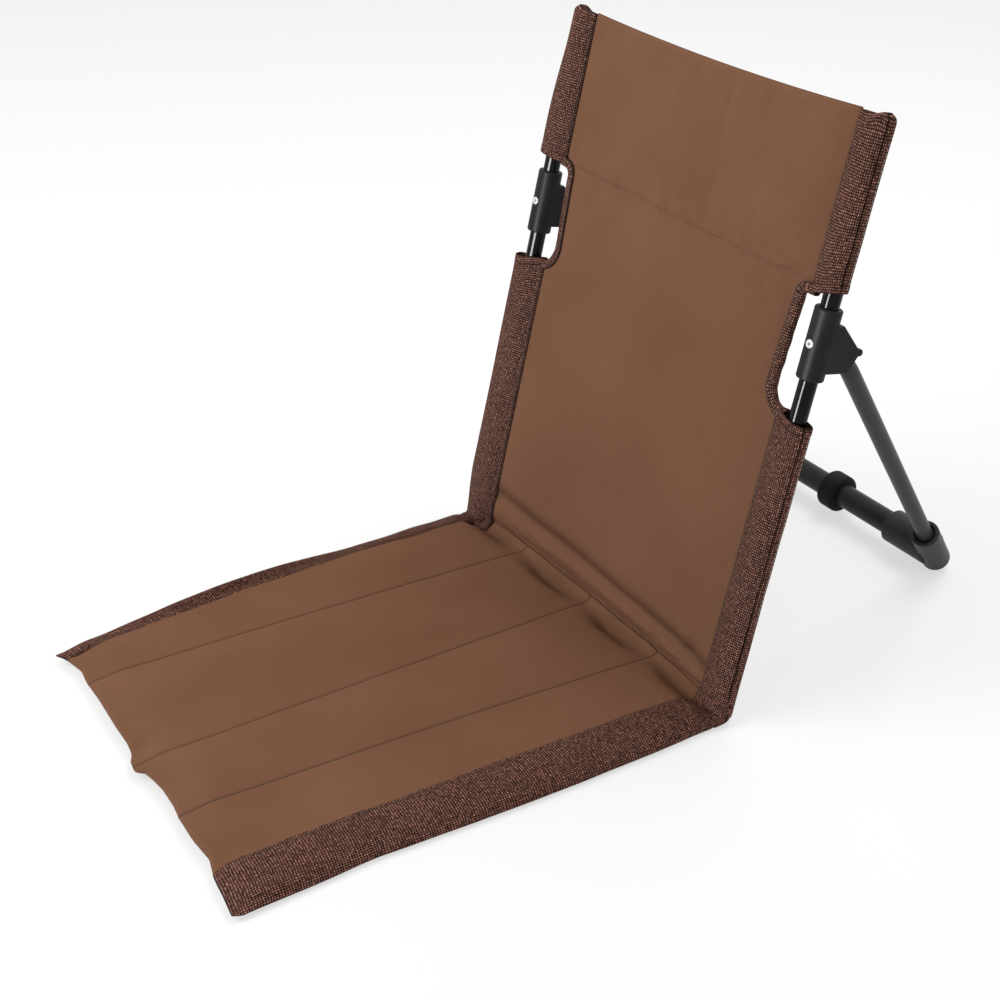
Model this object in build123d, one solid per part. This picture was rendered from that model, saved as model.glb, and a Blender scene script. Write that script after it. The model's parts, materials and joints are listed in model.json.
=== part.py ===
from build123d import *
import math
import os

os.makedirs("parts", exist_ok=True)

# Overall sizes, in millimetres and degrees
chair_width = 420.0
seat_length = 460.0
seat_thickness = 16.0
back_length = 530.0
back_thickness = 8.0
back_angle = 77.0
leg_open_angle = 50.0
foot_spread = 274.0

# Fabric: covers, side borders, pole sleeves and edge bindings
fabric = 1.2
lining_gap = 0.2
pad_round = 6.0
back_round = 3.4
border_width = 40.0
sleeve_width = 36.0
sleeve_round = 6.5
fold_gap = 0.4
floor_gap = 0.3
quilt_spacing = 110.0
quilt_depth = 3.0
quilt_slope = 18.0
binding_width = 8.0
binding_proud = 0.8

# Side notches that bare the poles at the brackets
notch_low = 286.0
notch_high = 388.0
notch_depth = 52.0
notch_low_round = 24.0
notch_high_round = 12.0

# Steel tubes
pole_diameter = 16.0
pole_inset = 15.0
leg_diameter = 16.0
leg_bend = 24.0
leg_bend_radius = 60.0
cross_tube_diameter = 25.0
cross_height = 27.0
joint_length = 80.0
tube_wall = 1.2
tube_fit = 0.1

# Plugs in the tube ends
plug_cap = 2.5
plug_depth = 14.0
plug_round = 1.0

# Brackets that carry the legs on the poles
bracket_centre = 344.0
bracket_length = 62.0
bracket_wall = 3.8
bracket_edge = 1.5
pivot_behind = 28.0
pivot_below = 11.0
web = 2.5
cheek_wall = 2.6
cheek_reach = 10.0
cheek_drop = 8.0
cheek_round = 5.0
roof_gap = 2.1
roof_wall = 2.2
lip_radius = 3.2
lip_gap = 0.35
stop_gap = 0.3
pin_skin = 0.9

# Pivot pins, washers and blind rivets
pin_diameter = 5.0
pin_fit = 0.05
pin_head_diameter = 8.5
pin_head = 1.6
washer_diameter = 11.0
washer = 0.8
washer_play = 0.25
leg_overrun = 3.5
leg_cap = 1.5
leg_plug_depth = 14.0
rivet_shank = 4.8
rivet_head_diameter = 7.6
rivet_head = 1.2
rivet_core = 2.4
rivet_seat = 0.8
rivet_grip = 3.0

# Foot elbows, their bushes and the collar on the cross tube
socket_diameter = 29.0
socket_mouth = 38.0
socket_round = 6.0
socket_edge = 1.5
cross_socket_diameter = 35.5
cross_socket = 54.0
cross_tube_stop = 12.0
bush_diameter = 22.0
bush_depth = 8.0
bush_sunk = 2.5
collar_diameter = 41.0
collar_width = 22.0
collar_round = 4.0

# Places worked out from the sizes above
half_width = chair_width / 2
pole_x = half_width - pole_inset
foot_x = foot_spread / 2
pole_radius = pole_diameter / 2
leg_radius = leg_diameter / 2
pin_radius = pin_diameter / 2
sleeve_thickness = pole_diameter + 2 * (fabric + lining_gap)
lean_back = 90 - back_angle
leg_lean = leg_open_angle - lean_back
fold_height = seat_thickness + fold_gap
pole_depth = fold_gap + sleeve_thickness / 2
seam_x = half_width - sleeve_width
notch_x = half_width - notch_depth
bracket_radius = pole_radius + bracket_wall
slot_width = leg_diameter + 2 * (washer + 2 * washer_play)
housing_width = slot_width + 2 * cheek_wall
leg_end_sweep = math.hypot(leg_radius - plug_round, leg_overrun + leg_cap - plug_round) + plug_round
lip_out = leg_radius + stop_gap + lip_radius
lip_away = leg_end_sweep + lip_gap + lip_radius
roof_reach = math.sqrt(max(0, lip_away ** 2 - lip_out ** 2))


def sin(angle):
    return math.sin(math.radians(angle))


def cos(angle):
    return math.cos(math.radians(angle))


# The back ends where the rear corner of its sleeves nears the floor
back_drop = (fold_height - floor_gap - (fold_gap + sleeve_thickness) * cos(back_angle)) / sin(back_angle)
seat_end = fold_gap + back_drop * cos(back_angle)

# The legs run from the brackets' pins to the cross tube, and lean towards each other below a small bend
pivot_up = bracket_centre - pivot_below
pivot_back = pole_depth + pivot_behind
pivot_y = pivot_up * cos(back_angle) + pivot_back * sin(back_angle)
pivot_z = fold_height + pivot_up * sin(back_angle) - pivot_back * cos(back_angle)
leg_length = (pivot_z - cross_height) / cos(leg_lean)
foot_y = pivot_y + leg_length * sin(leg_lean)
leg_tilt = math.degrees(math.atan2(pole_x - foot_x, leg_length - leg_bend))

# The rounded end of the elbow touches the floor
socket_radius = socket_diameter / 2
flat_radius = socket_radius - socket_round
steep = cos(leg_lean) * cos(leg_tilt)
tipped = flat_radius * math.sqrt(1 - steep * steep)
socket_end = socket_round + (cross_height - tipped - socket_round) / steep

back_place = Pos(0, 0, fold_height) * Rot(-lean_back, 0, 0)
leg_place = Pos(0, pivot_y, pivot_z) * Rot(leg_lean, 0, 0)
nodes = {}


def block(x, y, z):
    size = [high - low for low, high in (x, y, z)]
    middle = [(low + high) / 2 for low, high in (x, y, z)]
    return Pos(*middle) * Box(*size)


def rod(radius, low, high):
    return Pos(0, 0, low) * Cylinder(radius, high - low, align=(Align.CENTER, Align.CENTER, Align.MIN))


def rod_x(radius, low, high):
    return Rot(0, 90, 0) * rod(radius, low, high)


def tube(radius, low, high):
    return rod(radius, low, high) - rod(radius - tube_wall, low, high)


def add_pair(name, shape, place):
    nodes[name + "_right"] = place * shape
    nodes[name + "_left"] = place * mirror(shape, about=Plane.YZ)


def seat_slab(inset):
    slab = block(
        (inset - half_width, half_width - inset),
        (inset - seat_length, -seat_end - inset),
        (inset, seat_thickness - inset),
    )
    slab = fillet(slab.edges(), pad_round - inset)
    for x in (-quilt_spacing, 0, quilt_spacing):
        slab = slab - quilt_valley(x, seat_thickness - inset)
    return slab


def quilt_valley(x, top):
    # Wedge of air over a stitch line, as long as the seat and open above the pad's top
    outline = Polyline(
        (x, top - quilt_depth),
        (x + 2 * quilt_slope, top + quilt_depth),
        (x - 2 * quilt_slope, top + quilt_depth),
        close=True,
    )
    return extrude(make_face(Plane.XZ * outline), seat_length, dir=(0, -1, 0))


def make_seat():
    skin = seat_slab(0) - seat_slab(fabric)
    inner_x = half_width - border_width
    length = (-seat_length, 0)
    middle = seat_thickness / 2
    nodes["seat_foam"] = seat_slab(fabric + lining_gap)
    nodes["seat_top_cover"] = skin & block((-inner_x, inner_x), length, (middle, seat_thickness))
    nodes["seat_base_cover"] = skin & block((-inner_x, inner_x), length, (0, middle))
    border = skin & block((inner_x, half_width), length, (0, seat_thickness))
    add_pair("seat_border", border, Pos(0, 0, 0))


def notch_outline():
    outline = Polyline(
        (half_width + notch_depth, notch_low),
        (notch_x, notch_low),
        (notch_x, notch_high),
        (half_width + notch_depth, notch_high),
        close=True,
    )
    face = make_face(Plane.XZ * outline)
    inner = face.vertices().filter_by_position(Axis.X, notch_x - 1, notch_x + 1).sort_by(Axis.Z)
    face = fillet(inner[0], notch_low_round)
    inner = face.vertices().filter_by_position(Axis.Z, notch_high - 1, notch_high + 1).sort_by(Axis.X)
    return fillet(inner[0], notch_high_round)


def through(face, near, far):
    return Pos(0, far, 0) * extrude(face, far - near, dir=(0, -1, 0))


def make_back():
    # The panel hangs between the poles, in the plane of their axes
    near = pole_depth - back_thickness / 2
    far = near + back_thickness
    notch = notch_outline()
    bound = offset(notch, binding_width, kind=Kind.ARC)
    panel = block((-seam_x, seam_x), (near, far), (-back_drop, back_length))
    ends = panel.edges().filter_by(Axis.X)
    panel = fillet(ends, back_round)
    cut = through(bound, near - fabric, far + fabric)
    panel = panel - cut - mirror(cut, about=Plane.YZ)
    foam_x = notch_x - binding_width - fabric
    foam_z = (back_round - back_drop, back_length - back_round)
    foam_room = block((-foam_x, foam_x), (near + fabric, far - fabric), foam_z)
    panel = panel - foam_room
    middle = (near + far) / 2
    height = (-back_drop, back_length)
    nodes["back_front_cover"] = back_place * (panel & block((-seam_x, seam_x), (near, middle), height))
    nodes["back_rear_cover"] = back_place * (panel & block((-seam_x, seam_x), (middle, far), height))
    foam = block(
        (lining_gap - foam_x, foam_x - lining_gap),
        (near + fabric + lining_gap, far - fabric - lining_gap),
        (foam_z[0] + lining_gap, foam_z[1] - lining_gap),
    )
    nodes["back_foam"] = back_place * foam
    tape = through(bound, near - binding_proud, far + binding_proud)
    tape = tape - through(notch, near - 2 * binding_proud, far + 2 * binding_proud)
    tape = tape & block((0, seam_x), (near - binding_proud, far + binding_proud), height)
    add_pair("notch_binding", tape, back_place)


def sleeve(low, high, room_low, room_high):
    near = fold_gap
    far = fold_gap + sleeve_thickness
    outer = block((seam_x, half_width), (near, far), (low, high))
    sides = outer.edges().filter_by(Axis.Z).sort_by(Axis.X)[-2:]
    outer = fillet(sides, sleeve_round)
    room = block((seam_x + fabric, half_width - fabric), (near + fabric, far - fabric), (room_low, room_high))
    sides = room.edges().filter_by(Axis.Z).sort_by(Axis.X)[-2:]
    room = fillet(sides, sleeve_round - fabric)
    return outer - room


def make_poles():
    low = fabric + lining_gap + plug_cap - back_drop
    high = back_length - fabric - lining_gap - plug_cap
    at_pole = back_place * Pos(pole_x, pole_depth, 0)
    at_other = back_place * Pos(-pole_x, pole_depth, 0)
    add_pair("sleeve_lower", sleeve(-back_drop, notch_low, fabric - back_drop, notch_low), back_place)
    add_pair("sleeve_upper", sleeve(notch_high, back_length, notch_high, back_length - fabric), back_place)
    pole = tube(pole_radius, low, high) - rivet_hole()
    plug = fillet(rod(pole_radius, 0, plug_cap).edges().group_by(Axis.Z)[-1], plug_round)
    plug = plug + rod(pole_radius - tube_wall - tube_fit, -plug_depth, 0)
    top_plug = Pos(0, 0, high) * plug
    bottom_plug = Pos(0, 0, low) * Rot(180, 0, 0) * plug
    for side, place in (("right", at_pole), ("left", at_other)):
        nodes["back_pole_" + side] = place * pole
        nodes["pole_top_plug_" + side] = place * top_plug
        nodes["pole_bottom_plug_" + side] = place * bottom_plug


def rivet_hole():
    hole = Rot(90, 0, 0) * rod(rivet_shank / 2 + pin_fit, 0, bracket_radius + rivet_head)
    return Pos(0, 0, bracket_centre) * hole


def make_rivets():
    seat = bracket_radius - rivet_seat
    shank = rod(rivet_shank / 2, pole_radius - tube_wall - rivet_grip, seat)
    head = rod(rivet_head_diameter / 2, seat, seat + rivet_head)
    head = fillet(head.edges().group_by(Axis.Z)[-1], rivet_head / 2)
    rivet = shank + head - rod(rivet_core / 2, 0, bracket_radius + rivet_head)
    for side, x in (("right", pole_x), ("left", -pole_x)):
        nodes["bracket_rivet_" + side] = back_place * Pos(x, pole_depth, bracket_centre) * Rot(90, 0, 0) * rivet


def leg_point(along, out):
    # Depth and height of a point given along the open leg and out from it on its upper side
    depth = pivot_behind + along * sin(leg_open_angle) + out * cos(leg_open_angle)
    height = -pivot_below - along * cos(leg_open_angle) + out * sin(leg_open_angle)
    return (depth, height)


def roof_height(depth, out):
    along = (depth - pivot_behind - out * cos(leg_open_angle)) / sin(leg_open_angle)
    return leg_point(along, out)[1]


def side_plate(points, rounds, width):
    face = make_face(Plane.YZ * Polyline(*points, close=True))
    for depth, radius in rounds:
        corners = face.vertices().sort_by_distance((0, depth[0], depth[1]))
        face = fillet(corners[0], radius)
    return Pos(-width / 2, 0, 0) * extrude(face, width, dir=(1, 0, 0))


def make_brackets():
    roof_in = leg_radius + roof_gap
    roof_out = roof_in + roof_wall
    half = bracket_length / 2
    body = rod(bracket_radius, -half, half)
    body = fillet(body.edges().filter_by(GeomType.CIRCLE), bracket_edge)
    peak = leg_point(roof_reach, roof_out)
    corner = leg_point(cheek_reach, -cheek_drop)
    start = roof_height(bracket_radius, roof_out)
    outline = [(0, start), (bracket_radius, start), peak, corner, (0, corner[1])]
    cheeks = side_plate(outline, [(peak, roof_wall), (corner, cheek_round)], housing_width)
    rims = cheeks.edges().filter_by(lambda edge: edge.center().Y > bracket_radius)
    rims = rims.filter_by(lambda edge: abs(abs(edge.center().X) - housing_width / 2) < pin_fit)
    cheeks = fillet(rims, bracket_edge)
    web_depth = bracket_radius + web
    deep = -bracket_length
    mouth = leg_point(bracket_length, roof_in)
    slot = [(web_depth, deep), (web_depth, roof_height(web_depth, roof_in)), mouth, (mouth[0], deep)]
    body = body + cheeks - side_plate(slot, [], slot_width)
    lip_depth, lip_height = leg_point(roof_reach, lip_out)
    lip = rod_x(lip_radius, -housing_width / 2, housing_width / 2)
    lip = fillet(lip.edges().filter_by(GeomType.CIRCLE), bracket_edge)
    body = body + Pos(0, lip_depth, lip_height) * lip
    body = body - rod(pole_radius + tube_fit, -half, half)
    bore = rod_x(pin_radius + pin_fit, -housing_width, housing_width / 2 - pin_skin)
    body = body - Pos(0, pivot_behind, -pivot_below) * bore
    recess = rod(rivet_head_diameter / 2 + pin_fit, bracket_radius - rivet_seat, bracket_radius + rivet_head)
    body = body - Rot(90, 0, 0) * recess - Pos(0, 0, -bracket_centre) * rivet_hole()
    add_pair("tee_bracket", Pos(pole_x, 0, 0) * body, back_place * Pos(0, pole_depth, bracket_centre))


def make_pivots():
    place = back_place * Pos(0, pole_depth + pivot_behind, bracket_centre - pivot_below)
    inner = -housing_width / 2
    pin = rod_x(pin_radius, inner, housing_width / 2 - pin_skin - pin_fit)
    head = rod_x(pin_head_diameter / 2, inner - pin_head, inner)
    head = fillet(head.edges().group_by(Axis.X)[0], pin_head / 2)
    add_pair("pivot_pin", Pos(pole_x, 0, 0) * (pin + head), place)
    inside = leg_radius + washer_play
    ring = rod_x(washer_diameter / 2, inside, inside + washer) - rod_x(pin_radius + pin_fit, 0, slot_width)
    pair = Compound(children=[Pos(pole_x, 0, 0) * ring, Pos(pole_x, 0, 0) * mirror(ring, about=Plane.YZ)])
    add_pair("pivot_washers", pair, place)


def leg_rod(radius):
    way = FilletPolyline(
        (0, 0, leg_overrun),
        (0, 0, -leg_bend),
        (foot_x - pole_x, 0, -leg_length),
        radius=leg_bend_radius,
    )
    return sweep(Pos(0, 0, leg_overrun) * Circle(radius), path=way)


def make_legs():
    bore = rod_x(pin_radius + pin_fit, -leg_diameter, leg_diameter)
    leg = leg_rod(leg_radius) - leg_rod(leg_radius - tube_wall) - bore
    add_pair("leg_tube", Pos(pole_x, 0, 0) * leg, leg_place)
    cap = rod(leg_radius, leg_overrun, leg_overrun + leg_cap)
    cap = fillet(cap.edges().group_by(Axis.Z)[-1], plug_round)
    plug = cap + rod(leg_radius - tube_wall - tube_fit, leg_overrun - leg_plug_depth, leg_overrun) - bore
    add_pair("leg_top_plug", Pos(pole_x, 0, 0) * plug, leg_place)


def make_elbows():
    at_foot = leg_place * Pos(0, 0, -leg_length)
    tilted = Rot(0, leg_tilt, 0)
    upright = rod(socket_radius, -socket_end, socket_mouth)
    upright = fillet(upright.edges().group_by(Axis.Z)[0], socket_round)
    upright = fillet(upright.edges().group_by(Axis.Z)[-1], socket_edge)
    level = rod_x(cross_socket_diameter / 2, -cross_socket, 0)
    level = fillet(level.edges().filter_by(GeomType.CIRCLE), socket_edge)
    elbow = tilted * upright + level
    elbow = elbow - tilted * rod(leg_radius + tube_fit, 0, socket_mouth)
    elbow = elbow - tilted * rod(bush_diameter / 2, socket_mouth - bush_depth, socket_mouth)
    elbow = elbow - rod_x(cross_tube_diameter / 2 + tube_fit, -cross_socket, -cross_tube_stop)
    add_pair("foot_elbow", Pos(foot_x, 0, 0) * elbow, at_foot)
    bush_low = socket_mouth - bush_depth
    bush_high = socket_mouth - bush_sunk
    bush = rod(bush_diameter / 2 - tube_fit, bush_low, bush_high)
    bush = fillet(bush.edges().group_by(Axis.Z)[-1], plug_round)
    bush = bush - rod(leg_radius + tube_fit, bush_low, bush_high)
    add_pair("elbow_bush", Pos(foot_x, 0, 0) * tilted * bush, at_foot)


def make_cross_tube():
    place = Pos(0, foot_y, cross_height)
    radius = cross_tube_diameter / 2
    side = Rot(0, 90, 0) * tube(radius, tube_fit, foot_x - cross_tube_stop - tube_fit)
    add_pair("cross_tube", side, place)
    joint = Rot(0, 90, 0) * tube(radius - tube_wall - tube_fit, -joint_length / 2, joint_length / 2)
    nodes["cross_tube_joint"] = place * joint
    collar = rod_x(collar_diameter / 2, -collar_width / 2, collar_width / 2)
    collar = fillet(collar.edges().filter_by(GeomType.CIRCLE), collar_round)
    collar = collar - rod_x(radius + tube_fit, -collar_width / 2, collar_width / 2)
    nodes["tube_collar"] = place * collar


make_seat()
make_back()
make_poles()
make_rivets()
make_brackets()
make_pivots()
make_legs()
make_elbows()
make_cross_tube()

# The origin is on the floor in the middle of the chair's footprint
rearward = sin(leg_lean) * cos(leg_tilt)
elbow_reach = (socket_end - socket_round) * rearward + flat_radius * math.sqrt(1 - rearward * rearward) + socket_round
rear_reach = max(collar_diameter / 2, elbow_reach)
middle_y = (foot_y + rear_reach - seat_length) / 2
centred = Pos(0, -middle_y, 0)
for name, shape in nodes.items():
    export_step(centred * shape, "parts/" + name + ".step")

print("fold axis y, z:", round(-middle_y, 4), round(fold_height, 4))
print("leg pivot y, z:", round(pivot_y - middle_y, 4), round(pivot_z, 4))
print("leg length, lean, foot y:", round(leg_length, 2), round(leg_lean, 2), round(foot_y - middle_y, 2))
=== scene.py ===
import json
import math

import bmesh
import bpy
import numpy as np
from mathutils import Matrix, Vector, noise


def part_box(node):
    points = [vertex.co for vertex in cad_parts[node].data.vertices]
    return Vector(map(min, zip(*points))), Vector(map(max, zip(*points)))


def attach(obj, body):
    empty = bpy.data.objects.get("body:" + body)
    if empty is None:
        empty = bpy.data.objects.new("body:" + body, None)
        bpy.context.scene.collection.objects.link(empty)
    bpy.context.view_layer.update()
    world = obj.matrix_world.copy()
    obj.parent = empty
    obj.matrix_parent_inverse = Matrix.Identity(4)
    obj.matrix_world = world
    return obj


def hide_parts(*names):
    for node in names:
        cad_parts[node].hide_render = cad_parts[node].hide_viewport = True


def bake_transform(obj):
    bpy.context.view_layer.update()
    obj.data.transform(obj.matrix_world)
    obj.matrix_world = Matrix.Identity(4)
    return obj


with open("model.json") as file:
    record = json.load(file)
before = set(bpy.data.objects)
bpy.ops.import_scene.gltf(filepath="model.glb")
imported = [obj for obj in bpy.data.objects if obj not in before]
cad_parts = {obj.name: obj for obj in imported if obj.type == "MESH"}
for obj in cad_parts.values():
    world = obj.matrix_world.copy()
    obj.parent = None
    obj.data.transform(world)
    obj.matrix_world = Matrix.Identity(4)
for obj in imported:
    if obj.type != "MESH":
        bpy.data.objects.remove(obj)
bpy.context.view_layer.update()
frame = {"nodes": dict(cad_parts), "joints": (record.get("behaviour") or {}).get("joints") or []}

# Lengths are in millimetres here and become metres when a mesh is made
MM = 0.001

# Places read from the frame
joint_places = {joint["name"]: joint["pos_m"] for joint in frame["joints"]}
fold_y = joint_places["back_fold"][1] / MM
fold_z = joint_places["back_fold"][2] / MM
border_low, border_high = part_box("seat_border_right")
seat_front = border_low.y / MM
half_width = border_high.x / MM

# Seat pad: places across it of its edges, seams and stitch lines as cut, and where they lie in the limp pad
SEAT_LINES = (-210.0, -170.0, -110.0, 0.0, 110.0, 170.0, 210.0)
LINES_REAR = (-211.0, -187.0, -107.0, 2.0, 108.0, 171.5, 212.0)
LINES_MIDDLE = (-213.0, -200.0, -133.0, -9.0, 78.0, 147.0, 190.0)
LINES_FRONT = (-207.0, -191.0, -147.0, -16.0, 62.0, 134.5, 186.0)
MIDDLE_SHARE = 0.6
SEAT_SEAM_X = 170.0
PAD_TUCK = 2.0
BESIDE_STITCH = (1.4, 3.2, 6.0, 10.0, 15.0)
COLUMN_STEP = 6.5
STITCH_TOP = 11.8
CHANNEL_CROWN = 3.2
FLOOR_CLEAR = 0.6
FRONT_LIFT = 5.0
FRONT_DIP = 4.0
REAR_DIP = 12.5
REAR_DIP_WIDTH = 9.5
# How dark the painted shade in the pockets beside the fold is
POCKET_SHADE = 0.6
REAR_RISE = 5.5
REAR_RISE_WIDTH = 5.0
NOSE = 4.0
PAD_REAR = 12.0
BORDER_REAR = -2.0
REAR_HALF = 170.0
FRONT_EDGE = (
    (-210, 0), (-185, 5), (-168, 7), (-140, 11), (-118, 9), (-90, 9), (-50, 7), (-26, 7), (-14, 5), (-9, 0.5),
    (4, -1.5), (9, -1), (14, 4.5), (34, 7), (55, 9), (90, 8.5), (112, 6.5), (135, 5.5), (157, 8), (172, 3), (190, 1),
    (210, -2),
)
FAR_CURL = 10.5
NEAR_BULGE = 7.0
PLEAT_CUT = -13.0
PLEAT_DEPTH = 3.0
PLEAT_WIDTH = 9.0
PLEAT_SHARES = (0.955, 0.985)

# Finer seat values: shares are of the way from the fold to the front
REAR_FINE = 0.07
NOSE_START = 0.93
LIFT_START = 0.85
LIFT_AT_TOP = 0.3
LIFT_UNEVEN = 0.25
NEAR_FLAT = 0.7
NEAR_FLAT_X = (110.0, 190.0)
STITCH_DIP = 0.4
STITCH_DIP_WIDTH = 1.5
CHANNEL_WIDTH = 34.0
EDGE_CROWN = 0.55
EDGE_WIDTH = 24.0
LEAST_THICKNESS = 1.5
POCKET_LEAST = 0.8
POCKET_DEPTH = 9.2
POCKET_UNEVEN = 2.4
PUCKER = 1.3
PUCKER_REACH = 22.0
# Place and width of the painted shade in the pockets, ahead of the fold
SHADE_AHEAD = 3.5
SHADE_WIDTH = 9.5
NOSE_TURNS = (50.0, 0.0, -50.0)
REAR_WIDEN = 40.0
WIDEN_AHEAD = (3.0, 33.0)

# Backrest: its lean from upright, its heights, and its seams and notches as the photo shows them, 1 right and -1 left
LEAN = math.radians(13.0)
BACK_TOP = 530.0
SEAM_X = 174.0
POLE_X = 195.0
POLE_Q = 9.8
NOTCH_X = {1: 161.0, -1: 160.0}
NOTCH_LOW = 286.0
NOTCH_BOTTOM = {1: 277.0, -1: 288.0}
NOTCH_HIGH = 388.0
NOTCH_TOP = {1: 379.5, -1: 386.0}
NOTCH_SLANT = 4.2
NOTCH_LOW_ROUND = 20.0
NOTCH_HIGH_ROUND = {1: 4.5, -1: 8.0}
BACK_STITCH_S = 389.0
BACK_BOTTOM = 1.0
BACK_PAD_TOP = 533.0
TOP_SAG = 4.5
STITCH_TILT = 0.8
BACK_COLUMNS = 68
EDGE_FRONT_Q = 8.2
EDGE_REAR_Q = 11.4
EDGE_PROUD = 1.0
BACK_CROWN = 2.4
BIND_WIDTH = 8.0
UPPER_NARROW = 0.88
ARCH_X = (-168.0, -135.0, -102.0, 7.0, 107.0, 140.0, 168.0)
ARCH_S = (0.0, 3.5, 5.8, 6.6, 4.4, 2.2, 0.0)
ARCH_REACH = 40.0
GROOVE_X = (-140.0, -44.0, 17.0, 74.0, 129.0, 173.0)
GROOVE_S = (31.0, 30.2, 28.2, 26.4, 23.5, 16.0)
GROOVE_DEPTH = 5.8
GROOVE_ABOVE = 11.0
GROOVE_BELOW = 6.5
# How dark the painted shade on the groove's upper wall is
GROOVE_SHADE = 0.55
ROLL_S = 14.0
ROLL_WIDTH = 7.0
ROLL_PROUD = 0.9
ROLL_ROUND = 13.0
ROLL_TURN = 5.0
GROOVE_UNEVEN = 1.2
GROOVE_FADE = (176.0, 164.0)
# Reach of the painted groove shade above and below its middle
SHADE_ABOVE = 8.0
SHADE_BELOW = 5.0
ROWS_FINE_TO = 55.0
STITCH_ROWS = (-2.8, -1.3, 0.0, 1.3, 2.8)
RIM_ROWS = (2.6, 1.0, 0.2, 0.0)
ROW_ROOM = 5.0
SEWN_SHARP = 0.35
SEWN_SHARP_WIDTH = 2.0
SEWN_BROAD = 0.25
SEWN_BROAD_WIDTH = 14.0
TOP_ROUND = 5.0
CROWN_POWER = 8
BACK_WAVE = 0.8
SAG_HEIGHTS = (420.0, 527.0)
TILT_REACH = 50.0
STITCH_SHADE = 0.12
RIM_SHADE = 0.6

# Cloth simulation
SIM_FRAMES = 18
CLOTH_SETTINGS = {
    "quality": 6,
    "mass": 0.15,
    "tension_stiffness": 20.0,
    "compression_stiffness": 20.0,
    "shear_stiffness": 8.0,
    "bending_stiffness": 0.3,
    "use_pressure": True,
    "uniform_pressure_force": 3.5,
    "shrink_min": -0.02,
}
SEAT_SWELL = 2.2
BACK_SWELL = 1.6

# Sewing thread; rows on the sleeves are from and to along the backrest, then x where it differs
STITCH_LENGTH = 3.0
STITCH_PITCH = 4.2
THREAD_STOPS = (0.0, 0.12, 0.5, 0.88, 1.0)
THREAD_WIDTHS = (0.35, 0.85, 1.0, 0.85, 0.35)
THREAD_PROUD = 0.2
BORDER_THREAD_X = 173.6
BORDER_THREAD_Z = 14.6
BORDER_THREAD_SHARES = (0.04, 0.985)
SLEEVE_THREAD_X = 175.0
SLEEVE_THREAD_Q = 6.2
EDGE_THREAD_Q = 12.2
SEAM_ROWS = ((6.0, NOTCH_LOW - 6.0), (NOTCH_HIGH + 12.0, BACK_PAD_TOP - 8.0))
EDGE_ROWS = ((12.0, NOTCH_LOW - 14.0, 210.2), (NOTCH_HIGH + 4.0, BACK_TOP - 14.0, 205.8))
BIND_THREAD_IN = 6.6
BIND_THREAD_Q = 6.0
THREAD_RADIUS = 0.4
THREAD_SIDES = 6


def smooth(value):
    value = np.clip(value, 0.0, 1.0)
    return value * value * (3 - 2 * value)


def rise(value, start, end):
    """A smooth step from 0 at start to 1 at end, where end may be the lower of the two."""
    return smooth((value - start) / (end - start))


def bell(away, width):
    return np.exp(-((away / width) ** 2))


def ripple(u, v, size, seed):
    return noise.noise(Vector((u / size, v / size, seed)))


def ripples(u, v, size, seed):
    u, v = np.broadcast_arrays(u, v)
    return np.array([ripple(a, b, size, seed) for a, b in zip(np.ravel(u), np.ravel(v))]).reshape(np.shape(u))


def back_points(x, s, q):
    """Points of the backrest: x across, s up along it from the fold and q behind its front."""
    x, s, q = np.broadcast_arrays(x, s, q)
    y = fold_y + s * math.sin(LEAN) + q * math.cos(LEAN)
    z = fold_z + s * math.cos(LEAN) - q * math.sin(LEAN)
    return np.stack([x, y, z], axis=-1).astype(float)


def strip_cap(first, count):
    """Faces that close a flat loop of points, joining each point to the one across from it."""
    faces = []
    for i in range(count // 2):
        corners = [i, i + 1, count - 2 - i, count - 1 - i]
        kept = list(dict.fromkeys(corners))
        if len(kept) > 2:
            faces.append([first + corner for corner in kept])
    return faces


def loft_faces(rings, count, capped=True):
    faces = []
    for ring in range(rings - 1):
        for i in range(count):
            j = (i + 1) % count
            a = ring * count
            b = a + count
            faces.append([a + i, a + j, b + j, b + i])
    if capped:
        faces += strip_cap(0, count)
        faces += strip_cap((rings - 1) * count, count)
    return faces


def make_mesh(name, points, faces, weave=None, seams_and_painted_shade=None):
    mesh = bpy.data.meshes.new(name)
    mesh.from_pydata((np.asarray(points).reshape(-1, 3) * MM).tolist(), [], faces)
    if weave is not None:
        layer = mesh.attributes.new("weave", "FLOAT_VECTOR", "POINT")
        flat = np.asarray(weave, dtype=np.float32).reshape(-1, 2) * MM
        layer.data.foreach_set("vector", np.pad(flat, ((0, 0), (0, 1))).ravel())
    # The mark that darkens the colour: seams and stitch lines, and painted shade in the fold's crease and hollows
    if seams_and_painted_shade is not None:
        layer = mesh.attributes.new("seams_and_painted_shade", "FLOAT", "POINT")
        layer.data.foreach_set("value", np.asarray(seams_and_painted_shade, dtype=np.float32).ravel())
    work = bmesh.new()
    work.from_mesh(mesh)
    bmesh.ops.recalc_face_normals(work, faces=work.faces)
    work.to_mesh(mesh)
    work.free()
    mesh.shade_smooth()
    piece = bpy.data.objects.new(name, mesh)
    bpy.context.scene.collection.objects.link(piece)
    return piece


def loop_lengths(loops):
    """How far round its loop each point is, in millimetres."""
    steps = np.linalg.norm(np.diff(loops, axis=1), axis=2)
    start = np.zeros((loops.shape[0], 1))
    return np.concatenate([start, np.cumsum(steps, axis=1)], axis=1)


def loft_piece(name, loops, along, seams_and_painted_shade=None):
    """A closed skin through loops of points; along is each loop's place along the cloth."""
    loops = np.asarray(loops, dtype=float)
    rings, count = loops.shape[:2]
    across = loop_lengths(loops)
    weave = np.stack([across, np.repeat(np.asarray(along)[:, None], count, axis=1)], axis=-1)
    if seams_and_painted_shade is None:
        seams_and_painted_shade = np.zeros((rings, count))
    return make_mesh(name, loops, loft_faces(rings, count), weave, seams_and_painted_shade)


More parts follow.
